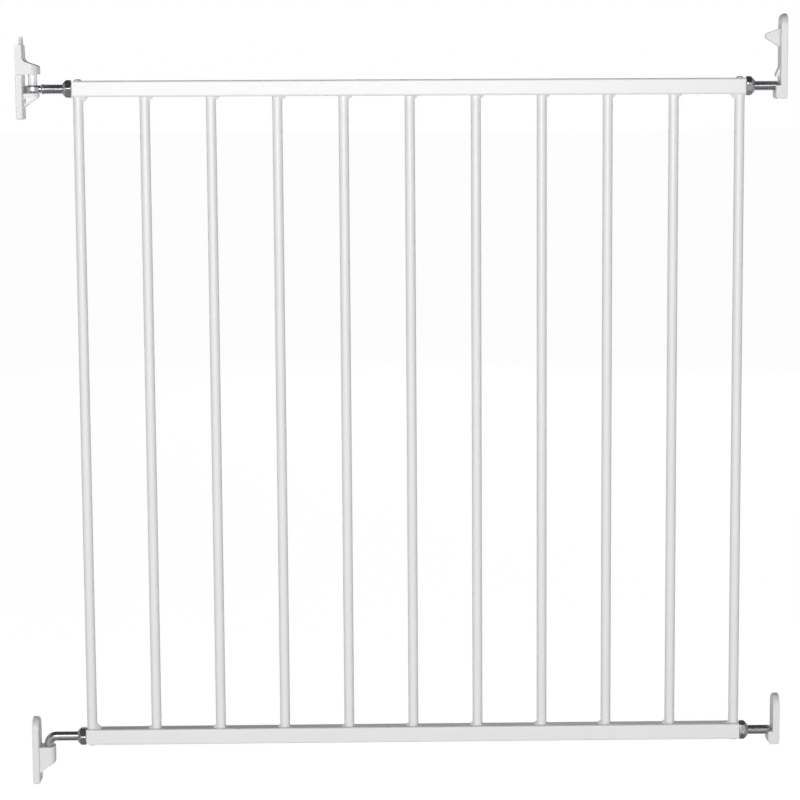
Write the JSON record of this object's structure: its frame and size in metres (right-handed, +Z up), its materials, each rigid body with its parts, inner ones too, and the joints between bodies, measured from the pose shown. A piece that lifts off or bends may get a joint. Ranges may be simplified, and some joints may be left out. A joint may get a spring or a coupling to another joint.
{
  "type": "safety baby gate",
  "caption": "Wall-mounted child safety gate: welded bar panel that lifts out of latch cradles and swings on adjustable hinge spindles.",
  "frame": {"origin": "under the middle of the opening between the two walls, at the height of the lowest bracket's end", "axes": "+X across the opening from the hinge wall to the latch wall, +Y away from the front, +Z up"},
  "size_m": [0.762, 0.028, 0.7743],
  "materials": {
    "powder_coat": "satin",
    "bracket_plastic": "satin",
    "pin_plastic": "satin",
    "bush_plastic": "matte",
    "zinc_steel": "zinc plated",
    "spring_steel": "drawn wire"
  },
  "bodies": {
    "hinge_side": {"upper_hinge_bracket": "bracket_plastic", "lower_hinge_bracket": "bracket_plastic"},
    "hinge_lock": {"upper_hinge_lock": "bracket_plastic", "upper_hinge_pin": "pin_plastic"},
    "hinge_bush": {"lower_hinge_bush": "bush_plastic"},
    "hinge_spindles": {"upper_hinge_spindle": "zinc_steel", "lower_hinge_spindle": "zinc_steel"},
    "gate": {"top_rail": "powder_coat", "bottom_rail": "powder_coat", "top_rail_welds": "powder_coat", "bottom_rail_welds": "powder_coat", "hinge_side_bar": "powder_coat", "latch_side_bar": "powder_coat", "bar_1": "powder_coat", "bar_2": "powder_coat", "bar_3": "powder_coat", "bar_4": "powder_coat", "bar_5": "powder_coat", "bar_6": "powder_coat", "bar_7": "powder_coat", "bar_8": "powder_coat", "bar_9": "powder_coat", "upper_hinge_rail_insert": "powder_coat", "lower_hinge_rail_insert": "powder_coat", "upper_latch_rail_insert": "powder_coat", "lower_latch_rail_insert": "powder_coat"},
    "latch_spindles": {"upper_latch_spindle": "zinc_steel", "lower_latch_spindle": "zinc_steel"},
    "latch_side": {"upper_latch_bracket": "bracket_plastic", "lower_latch_bracket": "bracket_plastic", "latch_lever_pin": "zinc_steel"},
    "latch_press": {"latch_lever": "bracket_plastic", "latch_lever_spring": "spring_steel"},
    "upper_hinge_nut": {"upper_hinge_lock_nut": "zinc_steel"},
    "lower_hinge_nut": {"lower_hinge_lock_nut": "zinc_steel"},
    "upper_latch_nut": {"upper_latch_lock_nut": "zinc_steel"},
    "lower_latch_nut": {"lower_latch_lock_nut": "zinc_steel"}
  },
  "joints": [
    {"name": "hinge_lock_slide", "type": "slide", "parent": "hinge_side", "child": "hinge_lock", "axis": [0, 0, 1], "range_m": [0, 0.024]},
    {"name": "gate_swing", "type": "hinge", "parent": "hinge_side", "child": "hinge_bush", "pos_m": [-0.3654, 0, 0.0475], "axis": [0, 0, 1], "range_deg": [-100, 100]},
    {"name": "gate_lift", "type": "slide", "parent": "hinge_bush", "child": "hinge_spindles", "axis": [0, 0, 1], "range_m": [0, 0.006]},
    {"name": "panel_adjust", "type": "slide", "parent": "hinge_spindles", "child": "gate", "axis": [1, 0, 0], "range_m": [-0.0145, 0.0115]},
    {"name": "latch_spindle_adjust", "type": "slide", "parent": "gate", "child": "latch_spindles", "axis": [1, 0, 0], "range_m": [-0.0145, 0.0115]},
    {"name": "width_adjust", "type": "slide", "parent": "hinge_side", "child": "latch_side", "axis": [1, 0, 0], "range_m": [-0.029, 0.023]},
    {"name": "latch_press", "type": "hinge", "parent": "latch_side", "child": "latch_press", "pos_m": [0.3774, 0, 0.7495], "axis": [0, -1, 0], "range_deg": [0, 6.8], "stiffness_Nm_per_rad": 0.05, "springref_deg": -11.46},
    {"name": "upper_hinge_nut_turn", "type": "hinge", "parent": "gate", "child": "upper_hinge_nut", "pos_m": [-0.327, 0, 0.7035], "axis": [1, 0, 0], "continuous": true},
    {"name": "upper_latch_nut_turn", "type": "hinge", "parent": "gate", "child": "upper_latch_nut", "pos_m": [0.341, 0, 0.7035], "axis": [1, 0, 0], "continuous": true},
    {"name": "lower_hinge_nut_turn", "type": "hinge", "parent": "gate", "child": "lower_hinge_nut", "pos_m": [-0.327, 0, 0.0475], "axis": [1, 0, 0], "continuous": true},
    {"name": "lower_latch_nut_turn", "type": "hinge", "parent": "gate", "child": "lower_latch_nut", "pos_m": [0.341, 0, 0.0475], "axis": [1, 0, 0], "continuous": true}
  ],
  "couplings": [
    {"joint": "width_adjust", "follows": "panel_adjust", "ratio": 2},
    {"joint": "latch_spindle_adjust", "follows": "panel_adjust", "ratio": 1},
    {"joint": "latch_press", "follows": "gate_lift", "rad_per_m": 19.2}
  ]
}
